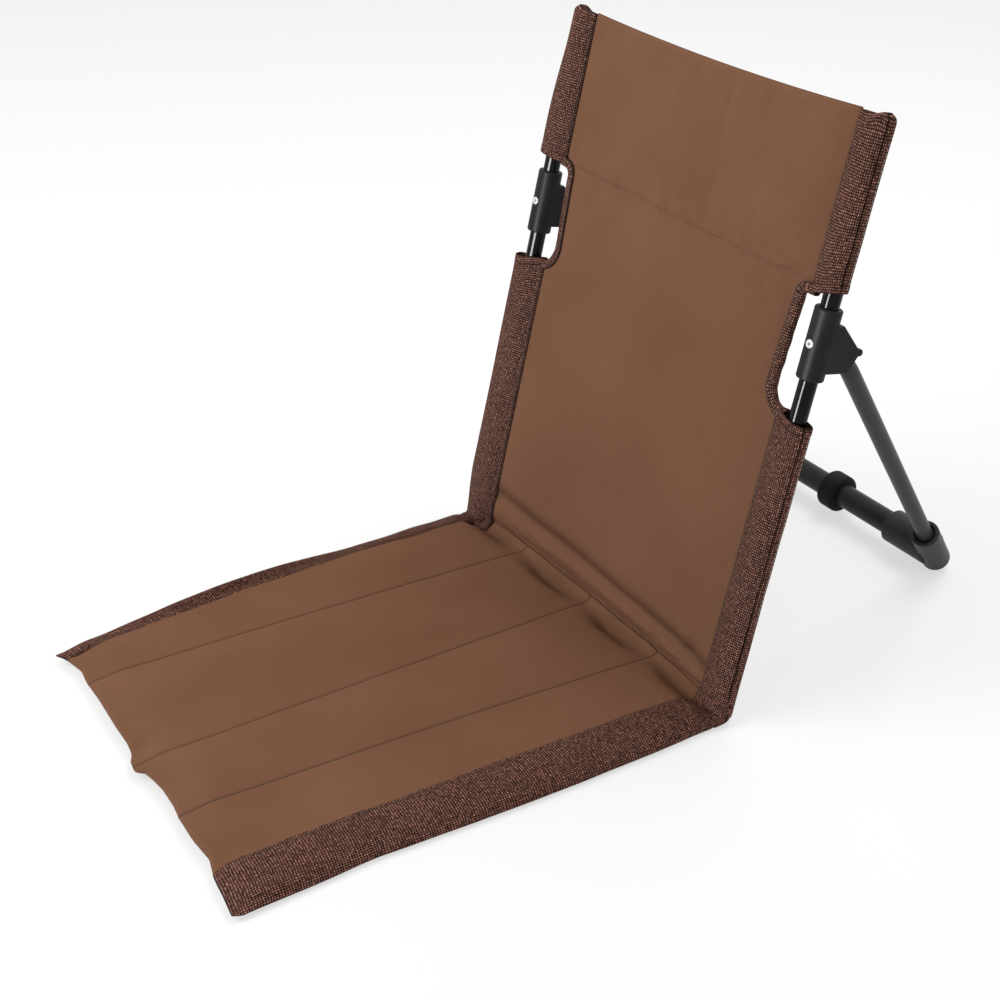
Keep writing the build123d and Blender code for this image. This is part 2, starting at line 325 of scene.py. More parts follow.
def inflate(piece, pinned, cap, floor=None):
    """Swells a closed skin with Blender's cloth, held at the pinned points, and keeps the result."""
    scene = bpy.context.scene
    mesh = piece.data
    count = len(mesh.vertices)
    rest = np.zeros(count * 3)
    mesh.vertices.foreach_get("co", rest)
    held = piece.vertex_groups.new(name="held")
    held.add([int(index) for index in np.flatnonzero(pinned)], 1.0, "REPLACE")
    cloth = piece.modifiers.new("cloth", "CLOTH")
    for key, value in CLOTH_SETTINGS.items():
        setattr(cloth.settings, key, value)
    cloth.settings.vertex_group_mass = held.name
    cloth.settings.effector_weights.gravity = 0.0
    cloth.collision_settings.use_collision = False
    cloth.point_cache.frame_start = 1
    cloth.point_cache.frame_end = SIM_FRAMES
    for step in range(1, SIM_FRAMES + 1):
        scene.frame_set(step)
    shaped = piece.evaluated_get(bpy.context.evaluated_depsgraph_get())
    moved = np.zeros(count * 3)
    shaped.data.vertices.foreach_get("co", moved)
    piece.modifiers.remove(cloth)
    piece.vertex_groups.remove(held)
    shift = (moved - rest).reshape(-1, 3)
    reach = np.linalg.norm(shift, axis=1, keepdims=True) + 1e-9
    limit = cap * MM
    placed = rest.reshape(-1, 3) + shift / reach * limit * np.tanh(reach / limit)
    if floor is not None:
        placed[:, 2] = np.maximum(placed[:, 2], floor * MM)
    mesh.vertices.foreach_set("co", placed.ravel())
    mesh.update()
    scene.frame_set(1)


def subdivide(piece, limit=False):
    fine = piece.modifiers.new("fine", "SUBSURF")
    fine.levels = 1
    fine.render_levels = 1
    fine.use_limit_surface = limit


# Seat

def seat_x(cut, share):
    """Where a place across the seat lies, at a share of the way from the fold to the front."""
    rear = np.interp(cut, SEAT_LINES, LINES_REAR)
    middle = np.interp(cut, SEAT_LINES, LINES_MIDDLE)
    front = np.interp(cut, SEAT_LINES, LINES_FRONT)
    by_rear = (share - MIDDLE_SHARE) * (share - 1) / MIDDLE_SHARE
    by_middle = share * (1 - share) / (MIDDLE_SHARE * (1 - MIDDLE_SHARE))
    by_front = share * (share - MIDDLE_SHARE) / (1 - MIDDLE_SHARE)
    return rear * by_rear + middle * by_middle + front * by_front


def front_inset(cut):
    places, insets = zip(*FRONT_EDGE)
    return np.interp(cut, places, insets)


def front_lift(cut):
    near = 1 - NEAR_FLAT * float(rise(cut, *NEAR_FLAT_X))
    return FRONT_LIFT * near * (1 + LIFT_UNEVEN * ripple(cut, 0.0, size=70.0, seed=3.0))


def seat_columns():
    """Places across the pad as cut, finer beside the stitch lines, with which of them are stitched."""
    edges = [-SEAT_SEAM_X - PAD_TUCK, *SEAT_LINES[2:5], SEAT_SEAM_X + PAD_TUCK]
    beside = np.array(BESIDE_STITCH)
    columns = [np.array([edges[0]])]
    for low, high in zip(edges, edges[1:]):
        first = low + beside[-1]
        last = high - beside[-1]
        steps = max(2, round((last - first) / COLUMN_STEP))
        columns += [low + beside, np.linspace(first, last, steps + 1)[1:-1], high - beside[::-1], np.array([high])]
    columns = np.concatenate(columns)
    return columns, np.isin(columns, SEAT_LINES[2:5])


def channel_crown(cut):
    """Height of the pad over its stitch lines, from 0 to 1: a sharp dip at each line and a slow rise."""
    away = np.min(np.abs(np.asarray(SEAT_LINES[2:5]) - cut))
    edge = SEAT_SEAM_X + PAD_TUCK - abs(cut)
    dip = STITCH_DIP * (1 - math.exp(-away / STITCH_DIP_WIDTH))
    height = dip + (1 - STITCH_DIP) * float(smooth(away / CHANNEL_WIDTH))
    return height * (EDGE_CROWN + (1 - EDGE_CROWN) * float(smooth(edge / EDGE_WIDTH)))


def seat_shares():
    rear = np.linspace(0, REAR_FINE, 14)[:-1]
    middle = np.linspace(REAR_FINE, NOSE_START, 78)[:-1]
    return np.concatenate([rear, middle, np.linspace(NOSE_START, 1, 12)])


def rear_dip(cut, behind):
    """How far the top is drawn down beside the fold: puckered, deepest between the stitch lines."""
    between = math.sin(math.pi * cut / SEAT_LINES[4]) ** 2
    uneven = POCKET_UNEVEN * ripple(cut, 0.0, size=17.0, seed=6.0)
    depth = POCKET_LEAST + (POCKET_DEPTH + uneven) * between
    puckers = ripples(np.full_like(behind, cut), behind, size=13.0, seed=4.0)
    pinch = PUCKER * puckers * bell(behind, PUCKER_REACH)
    return depth * bell(behind - REAR_DIP, REAR_DIP_WIDTH) + pinch


def seat_loop(cut):
    share = seat_shares()
    front = seat_front + NOSE + front_inset(cut)
    rear = fold_y + PAD_REAR
    y = rear + (front - rear) * share
    crown = channel_crown(cut)
    lift = front_lift(cut) * rise(share, LIFT_START, 1.0)
    top = STITCH_TOP + CHANNEL_CROWN * crown + LIFT_AT_TOP * lift - FRONT_DIP * rise(share, NOSE_START, 1.0)
    top = top + ripples(np.full_like(y, cut), y, size=60.0, seed=1.0) * crown - rear_dip(cut, rear - y)
    top = top - PLEAT_DEPTH * bell(cut - PLEAT_CUT, PLEAT_WIDTH) * rise(share, *PLEAT_SHARES)
    bottom = FLOOR_CLEAR + lift
    arch = np.interp(cut, ARCH_X, ARCH_S) / max(ARCH_S)
    top = np.maximum(top, bottom + LEAST_THICKNESS) + REAR_RISE * arch * bell(rear - y, REAR_RISE_WIDTH)
    middle = (top[-1] + bottom[-1]) / 2
    half = (top[-1] - bottom[-1]) / 2
    turn = np.radians(NOSE_TURNS)
    nose_y = front - NOSE * np.cos(turn)
    nose_z = middle + half * np.sin(turn)
    loop_share = np.concatenate([share, [1.0, 1.0, 1.0], share[::-1]])
    loop_y = np.concatenate([y, nose_y, y[::-1]])
    loop_z = np.concatenate([top, nose_z, bottom[::-1]])
    limit = REAR_HALF + REAR_WIDEN * rise(fold_y - loop_y, *WIDEN_AHEAD)
    loop_x = np.clip(seat_x(cut, loop_share), -limit, limit)
    return np.stack([loop_x, loop_y, loop_z], axis=-1)


def painted_pocket_shade(columns, loops):
    """Marks painted shade on the front walls of the pockets between the stitch lines beside the fold."""
    between = np.abs(np.sin(math.pi * columns / SEAT_LINES[4]))
    behind = fold_y + PAD_REAR - loops[:, :, 1]
    near = bell(behind - REAR_DIP - SHADE_AHEAD, SHADE_WIDTH)
    near[:, len(seat_shares()):] = 0.0
    return POCKET_SHADE * between[:, None] * near


def make_seat_pad():
    columns, stitched = seat_columns()
    loops = np.array([seat_loop(cut) for cut in columns])
    count = loops.shape[1]
    pinned = np.repeat(stitched[:, None], count, axis=1)
    # Marks the stitch lines as dark seams, and painted shade in the pockets beside the fold
    seams_and_painted_shade = np.maximum(pinned.astype(float), painted_pocket_shade(columns, loops))
    # Painted shade along the crease where the seat meets the fold
    seams_and_painted_shade[:, 0] = 1.0
    piece = loft_piece("seat_pad", loops, columns, seams_and_painted_shade)
    pinned[0] = True
    pinned[-1] = True
    pinned[:, :3] = True
    pinned[:, -3:] = True
    inflate(piece, pinned.ravel(), SEAT_SWELL, FLOOR_CLEAR)
    subdivide(piece)
    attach(piece, "seat")
    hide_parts("seat_top_cover", "seat_base_cover", "seat_foam")


BORDER_SECTION = (
    (168.0, 12.6), (170.5, 13.9), (176.0, 14.9), (184.0, 15.3), (191.0, 15.0), (197.5, 13.9), (203.0, 11.9),
    (207.2, 9.0), (209.4, 5.8), (209.8, 3.4), (208.4, 1.6), (205.0, 0.8), (198.0, 0.6), (188.0, 0.6),
    (178.0, 0.6), (171.0, 0.6), (168.0, 1.6), (168.0, 7.0),
)
BORDER_RINGS = 116
BORDER_DIP = 4.5
BORDER_DIP_SHARES = (0.035, 0.0)
BORDER_MIDDLE = (189.0, 7.0)
BORDER_OUTER = (178.0, 206.0)
BORDER_UPPER = (2.0, 12.0)
BORDER_PROUD = 0.5
BORDER_LIFT_X = 190.0
BORDER_LIFT_START = 0.86
BORDER_LIFT_LOST = 0.6
BORDER_WAVE = 0.9
BORDER_WAVE_SIZE = 38.0
END_RINGS = (2.0, 0.0)
END_FLATTEN = 0.3
END_NARROW = 0.35
BULGE_END = 0.72
CURL_START = 0.2


def border_lift(sign, share):
    return front_lift(sign * BORDER_LIFT_X) * rise(share, BORDER_LIFT_START, 1.0)


def make_seat_border(side, sign, seed):
    section = np.array(BORDER_SECTION)
    rear = fold_y + BORDER_REAR
    middle = np.array(BORDER_MIDDLE)
    front = seat_front + front_inset(sign * section[:, 0]) - BORDER_PROUD
    outer = rise(section[:, 0], *BORDER_OUTER)
    upper = rise(section[:, 1], *BORDER_UPPER)
    curl = FAR_CURL if sign < 0 else 0.0
    loops = []
    along = []
    for share in np.linspace(0, 1, BORDER_RINGS + 1):
        y = rear + (front - rear) * share
        end = min(share * BORDER_RINGS, (1 - share) * BORDER_RINGS)
        tight = 1 - END_FLATTEN * rise(end, *END_RINGS)
        cut = middle[0] + (section[:, 0] - middle[0]) * (1 - END_NARROW * (1 - tight))
        z = middle[1] + (section[:, 1] - middle[1]) * tight
        side_wave = ripple(float(y[0]), 0.0, size=45.0, seed=seed)
        bulge = NEAR_BULGE * math.sin(math.pi * min(1.0, share / BULGE_END)) if sign > 0 else 0.0
        x = seat_x(sign * cut, share) + (sign * side_wave + bulge) * outer
        lift = border_lift(sign, share)
        curled = float(np.clip((share - CURL_START) / (1 - CURL_START), 0, 1))
        raised = curl * math.sin(math.pi * curled) ** 2 * outer
        rear_end = BORDER_DIP * rise(share, *BORDER_DIP_SHARES)
        dip = FRONT_DIP * rise(share, NOSE_START, 1.0) + rear_end
        top_wave = BORDER_WAVE * ripple(float(y[0]), 7.0, BORDER_WAVE_SIZE, seed)
        z = z + lift * (1 - BORDER_LIFT_LOST * upper) + raised + upper * (top_wave - dip)
        loops.append(np.stack([x, y, np.maximum(z, FLOOR_CLEAR)], axis=-1))
        along.append(float(y[0]))
    seams_and_painted_shade = np.zeros((len(loops), len(section)))
    seams_and_painted_shade[:, 0] = 0.8
    piece = loft_piece("seat_border_" + side + "_webbing", loops, along, seams_and_painted_shade)
    subdivide(piece)
    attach(piece, "seat")
    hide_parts("seat_border_" + side)


# Backrest

def notch_edge(s, sign, inboard):
    """Half width left beside a side's notch at height s, with the outline moved inboard."""
    low = NOTCH_BOTTOM[sign] + NOTCH_LOW_ROUND
    high = NOTCH_TOP[sign] - NOTCH_HIGH_ROUND[sign]
    if s < low:
        radius = NOTCH_LOW_ROUND + inboard
        depth = radius * radius - (s - low) ** 2
        centre = NOTCH_X[sign] + NOTCH_LOW_ROUND
    elif s > high:
        radius = NOTCH_HIGH_ROUND[sign] + inboard
        depth = radius * radius - (s - high) ** 2
        centre = NOTCH_X[sign] + NOTCH_SLANT + NOTCH_HIGH_ROUND[sign]
    else:
        return NOTCH_X[sign] + NOTCH_SLANT * (s - low) / (high - low) - inboard
    return centre - math.sqrt(depth) if depth > 0 else half_width


def back_rows():
    """Heights of the pad's rows, finer by the fold, the stitch line and the top."""
    lower = np.linspace(BACK_BOTTOM, ROWS_FINE_TO, 28)
    middle = np.linspace(ROWS_FINE_TO, BACK_STITCH_S - ROW_ROOM, 66)[1:]
    stitch = BACK_STITCH_S + np.array(STITCH_ROWS)
    upper = np.linspace(BACK_STITCH_S + ROW_ROOM, BACK_PAD_TOP - ROW_ROOM, 25)
    rim = BACK_PAD_TOP - np.array(RIM_ROWS)
    rows = np.concatenate([lower, middle, stitch, upper, rim])
    return rows, int(np.argmin(np.abs(rows - BACK_STITCH_S)))


def back_thickness(s):
    """Share of the full thickness at height s: sewn flat at the stitch line, rounded at the top."""
    away = abs(s - BACK_STITCH_S)
    stitch = 1 - SEWN_SHARP * math.exp(-away / SEWN_SHARP_WIDTH) - SEWN_BROAD * bell(away, SEWN_BROAD_WIDTH)
    to_top = max(0.0, min(1.0, (BACK_PAD_TOP - s) / TOP_ROUND))
    rounded = math.sqrt(max(0.0, 1 - (1 - to_top) ** 2))
    return stitch * rounded


def roll_turn(s):
    """How far the front goes in at the bottom, where the pad rolls under to the crease."""
    low = max(0.0, 1 - (s - BACK_BOTTOM) / ROLL_ROUND)
    return ROLL_TURN * (1 - math.sqrt(1 - low * low))


def back_loop(s):
    right = min(SEAM_X - PAD_TUCK, notch_edge(s, 1, BIND_WIDTH - PAD_TUCK))
    left = min(SEAM_X - PAD_TUCK, notch_edge(s, -1, BIND_WIDTH - PAD_TUCK))
    across = np.linspace(-1, 1, BACK_COLUMNS + 1)
    x = np.where(across > 0, right, left) * across
    crown = 1 - np.abs(across) ** CROWN_POWER
    middle = (EDGE_FRONT_Q + EDGE_REAR_Q) / 2
    reach = (EDGE_REAR_Q - EDGE_FRONT_Q) / 2 + BACK_CROWN * crown
    share = back_thickness(s)
    wave = BACK_WAVE * ripples(x, s, size=90.0, seed=5.0)
    front = middle - reach * share + wave * crown + roll_turn(s)
    rear = middle + reach * share + wave * crown
    sag = -TOP_SAG * (1 - (x / SEAM_X) ** 2) * rise(s, *SAG_HEIGHTS)
    sag = sag - STITCH_TILT * x / SEAM_X * bell(s - BACK_STITCH_S, TILT_REACH)
    sag = sag + np.interp(x, ARCH_X, ARCH_S) * (1 - smooth((s - BACK_BOTTOM) / ARCH_REACH))
    edge = np.array([middle])
    loop_x = np.concatenate([x, [right + EDGE_PROUD], x[::-1], [-left - EDGE_PROUD]])
    loop_s = s + np.concatenate([sag, [0.0], sag[::-1], [0.0]])
    loop_q = np.concatenate([front, edge, rear[::-1], edge])
    return back_points(loop_x, loop_s, loop_q)


def groove_places(x):
    return np.interp(x, GROOVE_X, GROOVE_S) + GROOVE_UNEVEN * ripples(x, 0.0, size=70.0, seed=9.0)


def fold_relief(x, s):
    """How far the front is pressed in above the fold: a soft groove, and under it a roll."""
    fade = rise(np.abs(x), *GROOVE_FADE)
    away = s - groove_places(x)
    groove = GROOVE_DEPTH * bell(away, np.where(away > 0, GROOVE_ABOVE, GROOVE_BELOW))
    roll = ROLL_PROUD * bell(s - ROLL_S, ROLL_WIDTH)
    return fade * (groove - roll)


def painted_groove_shade(x, s):
    """Marks painted shade on the upper wall of the groove above the fold."""
    away = s - groove_places(x) - 0.5 * GROOVE_ABOVE
    return GROOVE_SHADE * bell(away, np.where(away > 0, SHADE_ABOVE, SHADE_BELOW))


def press_fold(piece, loops, rows):
    """Presses the fold's groove into the front of the back pad."""
    depth = np.zeros(loops.shape[:2])
    front = slice(0, BACK_COLUMNS + 1)
    depth[:, front] = fold_relief(loops[:, front, 0], rows[:, None])
    inward = np.array([0.0, math.cos(LEAN), -math.sin(LEAN)])
    mesh = piece.data
    places = np.zeros(loops.size)
    mesh.vertices.foreach_get("co", places)
    mesh.vertices.foreach_set("co", places + (depth[:, :, None] * inward).ravel() * MM)
    mesh.update()


def make_back_pad():
    rows, stitch_row = back_rows()
    loops = np.array([back_loop(s) for s in rows])
    count = loops.shape[1]
    seams_and_painted_shade = np.zeros(loops.shape[:2])
    front = slice(0, BACK_COLUMNS + 1)
    # Painted shade on the upper wall of the groove above the fold
    seams_and_painted_shade[:, front] = painted_groove_shade(loops[:, front, 0], rows[:, None])
    seams_and_painted_shade[stitch_row] = STITCH_SHADE
    # Painted shade along the crease at the bottom of the pad, down in the fold
    seams_and_painted_shade[0] = 1.0
    seams_and_painted_shade[-2:] = RIM_SHADE
    piece = loft_piece("back_pad", loops, rows, seams_and_painted_shade)
    pinned = np.zeros(loops.shape[:2], dtype=bool)
    pinned[stitch_row] = True
    pinned[:4] = True
    pinned[-4:] = True
    side = np.arange(count)
    at_edge = (side < 2) | (np.abs(side - (BACK_COLUMNS + 1)) < 3) | (side > count - 4)
    pinned[:, at_edge] = True
    inflate(piece, pinned.ravel(), BACK_SWELL)
    press_fold(piece, loops, rows)
    subdivide(piece)
    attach(piece, "backrest")
    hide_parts("back_front_cover", "back_rear_cover", "back_foam")


SLEEVE_SECTION = (
    (172.0, 8.0), (175.0, 6.4), (179.5, 4.0), (184.5, 1.8), (190.0, 0.3), (196.0, 0.1), (201.5, 1.2), (205.4, 3.2),
    (207.6, 5.0), (208.0, 5.8), (206.8, 6.3), (205.4, 6.8), (207.0, 7.2), (208.8, 7.6), (209.8, 9.6), (210.0, 13.0),
    (208.6, 16.0), (204.8, 18.4), (198.0, 19.3), (190.0, 18.9), (182.5, 16.6), (176.0, 13.6), (172.0, 11.6),
    (171.6, 9.8),
)
SLEEVE_GROOVE = 11
CLOTH = 1.0
HEM = 8.0
PLAIN_RINGS = 64
END_ROUND = 4.5
LOWER_CLOSED = -11.8
UPPER_CLOSED = 531.5
MOUTH_SLANT = {
    ("lower", 1): (-7.0, -5.0),
    ("lower", -1): (5.0, -8.0),
    ("upper", 1): (-6.0, 8.0),
    ("upper", -1): (0.0, 2.0),
}
MOUTH_REACH = 90.0
LOWER_FLARE = 1.5
FLARE_S = (140.0, 0.0)
SIDE_SLACK = {("lower", 1): 0.0, ("lower", -1): 10.0, ("upper", 1): 0.0, ("upper", -1): 8.0}
INNER_RAISE = {1: 10.0, -1: 15.0}
HEM_STEPS = ((7.4, 0.3), (4.0, 0.4), (1.0, 0.3), (0.1, 0.0))
LIP_STEPS = ((0.1, 0.7), (1.0, CLOTH))
END_STEPS = (0.0, 0.6, 1.6, 3.0)
PLAIN_FROM = 5.0
OUTER_X = (188.0, 206.0)
SLACK_FADE = (530.0, 420.0)
SLACK_AT_FOLD = 0.4
SLACK_FOLD_S = (-12.0, 48.0)
ROUND_OUTSIDE = 180.0
ROUND_LEAST = 0.3
SIDE_WAVE = 0.3
DEPTH_WAVE = 0.4
SLEEVE_ACROSS = 36.0
RAISE_X = (187.0, 174.0)
RAISE_S = (24.0, -12.0)
TIP_RISE = 4.0
TIP_X = POLE_X + 4.0
TIP_WIDTH = 7.0
TIP_HEIGHTS = (510.0, 530.0)


def grown(section, amount):
    """The section moved out from the pole by some millimetres."""
    centre = np.array([POLE_X - 5.0, POLE_Q])
    arms = section - centre
    reach = np.linalg.norm(arms, axis=1, keepdims=True)
    return centre + arms * (1 + amount / reach)


def sleeve_rings(mouth, closed):
    """Heights, growths and end distances of the rings: out along the outside to the mouth and back inside."""
    way = 1 if mouth > closed else -1
    end = closed + way * np.array(END_STEPS)
    rest = np.linspace(closed + way * PLAIN_FROM, mouth - way * HEM, PLAIN_RINGS - len(end))
    rings = [(s, 0.0, abs(s - closed)) for s in np.concatenate([end, rest])]
    rings += [(mouth - way * step, out, HEM + END_ROUND) for step, out in HEM_STEPS]
    rings += [(mouth - way * step, -out, HEM + END_ROUND) for step, out in LIP_STEPS]
    inner = np.linspace(mouth - way * HEM, closed + way * 2 * CLOTH, 40)
    rings += [(s, -CLOTH, abs(s - closed) - CLOTH) for s in inner]
    return rings


def make_sleeve(level, side, sign, mouth, closed, seed):
    section = np.array(SLEEVE_SECTION)
    centre = np.array([POLE_X, POLE_Q])
    narrow = UPPER_NARROW if level == "upper" else 1.0
    shift, slant = MOUTH_SLANT[level, sign]
    loops = []
    along = []
    for s, out, end in sleeve_rings(mouth, closed):
        shape = grown(section, out)
        outer = rise(shape[:, 0], *OUTER_X)
        shape[:, 0] = SEAM_X + (shape[:, 0] - SEAM_X) * narrow
        if level == "lower":
            shape[:, 0] += LOWER_FLARE * outer * rise(s, *FLARE_S)
        at_fold = SLACK_AT_FOLD + (1 - SLACK_AT_FOLD) * rise(s, *SLACK_FOLD_S)
        loose = rise(s, *SLACK_FADE) * at_fold
        shape[:, 0] += SIDE_SLACK[level, sign] * outer * loose
        rounding = math.sqrt(max(ROUND_LEAST, 1 - max(0.0, 1 - end / END_ROUND) ** 2))
        shape = centre + (shape - centre) * np.where(shape[:, 0] > ROUND_OUTSIDE, rounding, 1.0)[:, None]
        x = shape[:, 0] + SIDE_WAVE * ripple(s, 0.0, size=42.0, seed=seed) * outer
        q = shape[:, 1] + DEPTH_WAVE * ripple(s, 9.0, size=30.0, seed=seed)
        slanted = shift + slant * smooth((shape[:, 0] - SEAM_X) / SLEEVE_ACROSS)
        place = s + slanted * smooth(1 - abs(s - mouth) / MOUTH_REACH)
        if level == "lower":
            inside = rise(shape[:, 0], *RAISE_X)
            place = place + INNER_RAISE[sign] * inside * rise(s, *RAISE_S)
        else:
            place = place + TIP_RISE * bell(x - TIP_X, TIP_WIDTH) * rise(s, *TIP_HEIGHTS)
        loops.append(back_points(sign * x, place, q))
        along.append(s)
    seams_and_painted_shade = np.zeros((len(loops), len(section)))
    seams_and_painted_shade[:, SLEEVE_GROOVE - 1:SLEEVE_GROOVE + 2] = 1.0
    seams_and_painted_shade[:, 0] = 0.8
    piece = loft_piece("sleeve_" + level + "_" + side + "_webbing", loops, along, seams_and_painted_shade)
    subdivide(piece)
    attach(piece, "backrest")
    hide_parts("sleeve_" + level + "_" + side)
    outside = np.array(loops)[:PLAIN_RINGS]
    outside = np.concatenate([outside, outside[:, :1]], axis=1)


BIND_SECTION = (
    (8.4, 6.6), (6.0, 6.1), (3.0, 5.9), (0.6, 6.2), (-0.6, 7.2), (-1.0, 8.4), (-1.1, 9.8), (-1.0, 11.2),
    (-0.6, 12.4), (0.6, 13.4), (3.0, 13.7), (6.0, 13.5), (8.4, 13.0),
)
BIND_MIDDLE = (5.0, 9.8)
BIND_END_X = 179.0
BIND_LOOSE = 1.1
BIND_LOOSE_TO = 5.0


def bind_section():
    """A folded tape: out round the edge of the cloth and back on its inside."""
    outer = np.array(BIND_SECTION)
    arms = np.array(BIND_MIDDLE) - outer
    inner = outer + arms / np.linalg.norm(arms, axis=1, keepdims=True) * CLOTH
    inner[0] = outer[0] + np.array([0.0, CLOTH])
    inner[-1] = outer[-1] - np.array([0.0, CLOTH])
    return np.concatenate([outer, inner[::-1]])


def arc_path(centre, radius, degrees):
    turns = np.radians(degrees)
    return [(centre + radius * arm, arm) for arm in np.stack([np.cos(turns), np.sin(turns)], axis=-1)]


def bind_path(sign):
    """Points along the notch's outline with the direction into the cloth at each."""
    low_s = NOTCH_BOTTOM[sign] + NOTCH_LOW_ROUND
    high_s = NOTCH_TOP[sign] - NOTCH_HIGH_ROUND[sign]
    high_x = NOTCH_X[sign] + NOTCH_SLANT + NOTCH_HIGH_ROUND[sign]
    path = arc_path((NOTCH_X[sign] + NOTCH_LOW_ROUND, low_s), NOTCH_LOW_ROUND, np.linspace(270.0, 180.0, 15))
    for share in np.linspace(0, 1, 24)[1:-1]:
        place = np.array([NOTCH_X[sign] + NOTCH_SLANT * share, low_s + (high_s - low_s) * share])
        path.append((place, np.array([-1.0, 0.0])))
    path += arc_path((high_x, high_s), NOTCH_HIGH_ROUND[sign], np.linspace(180.0, 90.0, 11))
    path.append((np.array([BIND_END_X, NOTCH_TOP[sign]]), np.array([0.0, 1.0])))
    return path


def make_binding(side, sign):
    section = bind_section()
    loops = []
    along = []
    run = 0.0
    last = None
    for point, inward in bind_path(sign):
        if last is not None:
            run += float(np.linalg.norm(point - last))
        last = point
        fray = np.clip(1 - section[:, 0] / BIND_LOOSE_TO, 0.0, 1.0)
        loose = section[:, 0] + BIND_LOOSE * fray * ripple(run, 0.0, size=9.0, seed=31.0 + sign)
        x = point[0] + inward[0] * loose
        s = point[1] + inward[1] * loose
        loops.append(back_points(sign * x, s, section[:, 1]))
        along.append(run)
    seams_and_painted_shade = np.zeros((len(loops), len(section)))
    seams_and_painted_shade[:, 0] = 1.0
    piece = loft_piece("notch_binding_" + side + "_tape", loops, along, seams_and_painted_shade)
    subdivide(piece)
    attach(piece, "backrest")
    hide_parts("notch_binding_" + side)


# Web of cloth in the fold, and the cloth gathered at its ends

WEB_HALF = 178.0
WEB_SEAT = ((-10.0, 3.6), (0.0, 3.8), (7.0, 5.0), (11.5, 9.0))
WEB_BACK = ((3.0, 11.4), (9.0, 10.2), (15.0, 9.4), (15.0, 11.8), (7.0, 13.0), (0.0, 13.8))
WEB_FLOOR = ((12.0, 5.0), (7.0, 1.6), (-2.0, FLOOR_CLEAR), (-10.0, FLOOR_CLEAR + 0.6))
WEB_CREASE = 0.6
CORNER_SEAT = ((-12.0, 8.0), (-5.0, 6.6), (1.0, 6.0))
CORNER_BACK = ((-2.0, 6.0), (5.0, 5.0), (12.0, 5.2), (13.0, 16.0), (4.0, 17.2), (-4.0, 17.6))
CORNER_FLOOR = ((13.0, 3.4), (7.0, 1.0), (-3.0, FLOOR_CLEAR), (-12.0, FLOOR_CLEAR + 0.4))
CORNER_MIDDLE = (2.0, 6.4)
CORNER_INNER = 171.0
CORNER_INNER_SIZE = 0.5
CORNER_INNER_FADE = 18.0
CORNER_ROUND = 207.0
CORNER_END = 213.5
CORNER_LEAST = 0.06
BLEND_BACK = (12.0, 10.5)


def fold_section(seat_side, back_side, floor_side):
    """A loop in y and z from points behind the fold, with those of the back given as s and q."""
    fold = (fold_y, 0.0)
    back = back_points(0.0, *np.transpose(back_side))[:, 1:]
    return np.concatenate([np.add(seat_side, fold), back, np.add(floor_side, fold)])


def at_x(loop, x):
    return np.pad(loop, ((0, 0), (1, 0)), constant_values=x)


def fold_loop(x):
    loop = fold_section(WEB_SEAT, WEB_BACK, WEB_FLOOR)
    loop[len(WEB_SEAT) - 1, 1] += WEB_CREASE * ripple(x, 0.0, size=26.0, seed=8.0)
    return at_x(loop, x)


def corner_loop(x):
    """Cloth gathered at the outer end of the fold, rounded off at the side."""
    loop = fold_section(CORNER_SEAT, CORNER_BACK, CORNER_FLOOR)
    past = max(0.0, (abs(x) - CORNER_ROUND) / (CORNER_END - CORNER_ROUND))
    middle = np.add(CORNER_MIDDLE, (fold_y, 0.0))
    full = float(smooth((abs(x) - CORNER_INNER) / CORNER_INNER_FADE))
    inner = CORNER_INNER_SIZE + (1 - CORNER_INNER_SIZE) * full
    loop = middle + (loop - middle) * inner * math.sqrt(max(CORNER_LEAST, 1 - past * past))
    return at_x(loop, x)


def make_fold(name, profile, low, high, steps):
    columns = np.linspace(low, high, steps)
    loops = np.array([profile(x) for x in columns])
    piece = loft_piece(name, loops, columns)
    subdivide(piece, limit=True)
    shaped = piece.evaluated_get(bpy.context.evaluated_depsgraph_get())
    mesh = bpy.data.meshes.new_from_object(shaped)
    piece.modifiers.clear()
    piece.data = mesh
    end = tuple(back_points(0.0, *BLEND_BACK) * MM)
    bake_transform(piece)


# Sewing thread

def thread_rows(paths):
    """Small rods of thread laid along paths: arrays of points with a pitch between stitches."""
    points = []
    faces = []
    for path in paths:
        path = np.asarray(path, dtype=float)
        run = loop_lengths(path[None])[0]
        for start in np.arange(1.0, run[-1] - STITCH_LENGTH, STITCH_PITCH):
            stops = start + STITCH_LENGTH * np.array(THREAD_STOPS)
            spine = np.stack([np.interp(stops, run, path[:, axis]) for axis in range(3)], axis=-1)
            add_thread(points, faces, spine)
    return points, faces


def add_thread(points, faces, spine):
    first = len(points)
    way = spine[-1] - spine[0]
    way = way / np.linalg.norm(way)
    other = np.array([1.0, 0.0, 0.0]) if abs(way[0]) < 0.8 else np.array([0.0, 1.0, 0.0])
    side = np.cross(way, other)
    side = side / np.linalg.norm(side)
    up = np.cross(way, side)
    turns = np.arange(THREAD_SIDES) * 2 * math.pi / THREAD_SIDES
    for centre, width in zip(spine, THREAD_WIDTHS):
        for turn in turns:
            points.append(centre + THREAD_RADIUS * width * (math.cos(turn) * side + math.sin(turn) * up))
    faces += [[first + corner for corner in face] for face in loft_faces(len(spine), THREAD_SIDES, capped=False)]
    faces.append([first + i for i in range(THREAD_SIDES)])
    last = first + (len(spine) - 1) * THREAD_SIDES
    faces.append([last + i for i in range(THREAD_SIDES)])


def make_threads(name, paths, body):
    points, faces = thread_rows(paths)
    piece = make_mesh(name, np.array(points), faces)
    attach(piece, body)


def seat_stitch_paths():
    paths = []
    last = len(seat_shares())
    for cut in SEAT_LINES[2:5]:
        top = seat_loop(cut)[4:last]
        paths.append(top + np.array([0.0, 0.0, THREAD_PROUD]))
    return paths


def back_stitch_path():
    loop = back_loop(BACK_STITCH_S)
    front = loop[2:BACK_COLUMNS - 1]
    return front + THREAD_PROUD * np.array([0.0, -math.cos(LEAN), math.sin(LEAN)])


